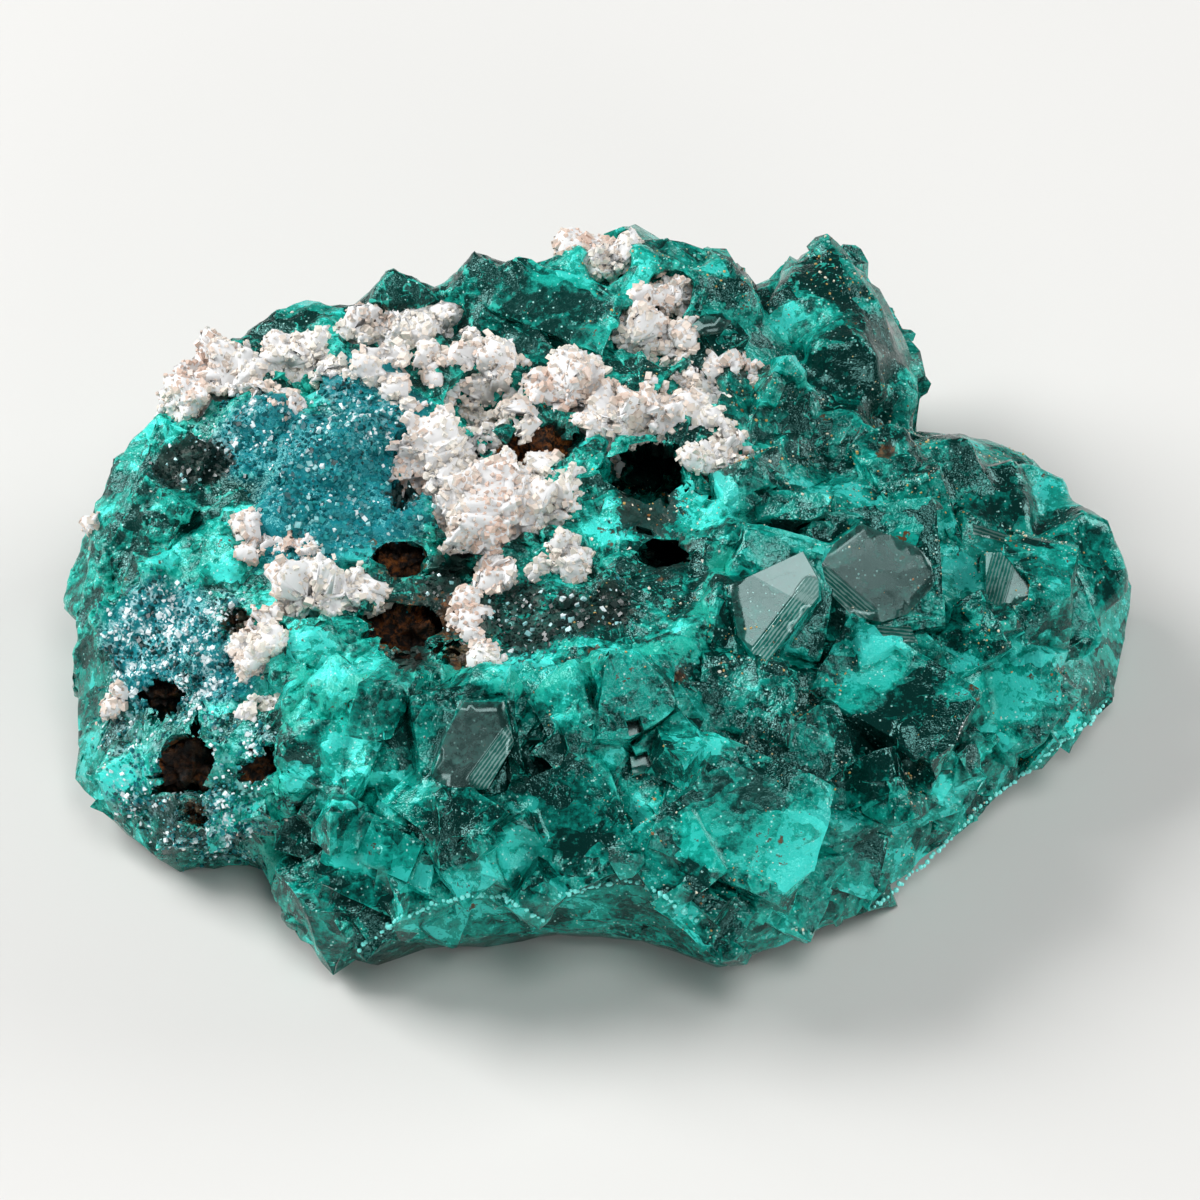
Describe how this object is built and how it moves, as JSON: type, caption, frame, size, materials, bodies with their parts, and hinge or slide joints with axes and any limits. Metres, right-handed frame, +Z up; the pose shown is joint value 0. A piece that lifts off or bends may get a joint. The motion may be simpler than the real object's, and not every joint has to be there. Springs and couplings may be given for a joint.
{
  "type": "dioptase mineral specimen",
  "caption": "Crust of intergrown blocky emerald-green dioptase crystals with white granular calcite masses and brown-floored pits on top, lying on a flat cut.",
  "frame": {"origin": "middle of the specimen's bounding box, on the flat cut it rests on", "axes": "+X along the long side, towards the tip of clear crystals; -Y faces the viewer of the crystal front; +Z up"},
  "size_m": [0.0426, 0.0352, 0.014],
  "materials": {
    "dioptase": "deep emerald to turquoise transparent crystal, bright on thin edges and fractures, vitreous faces",
    "calcite": "white to pinkish cream sugary grains with dark specks, matt with small glints",
    "brown_rock": "dark brown to rust iron-stained rock, rough and matt"
  },
  "bodies": {
    "root": {"dioptase_crust": "dioptase", "calcite_centre": "calcite", "calcite_east": "calcite", "calcite_rose": "calcite", "calcite_northwest": "calcite", "calcite_north": "calcite", "calcite_ridge": "calcite", "calcite_summit": "calcite", "calcite_crest": "calcite", "calcite_saddle": "calcite", "calcite_west": "calcite", "calcite_southwest": "calcite", "brown_rock_centre": "brown_rock", "brown_rock_hollow": "brown_rock", "brown_rock_middle": "brown_rock", "brown_rock_lobe": "brown_rock", "brown_rock_south": "brown_rock", "brown_rock_flank": "brown_rock"}
  },
  "joints": []
}
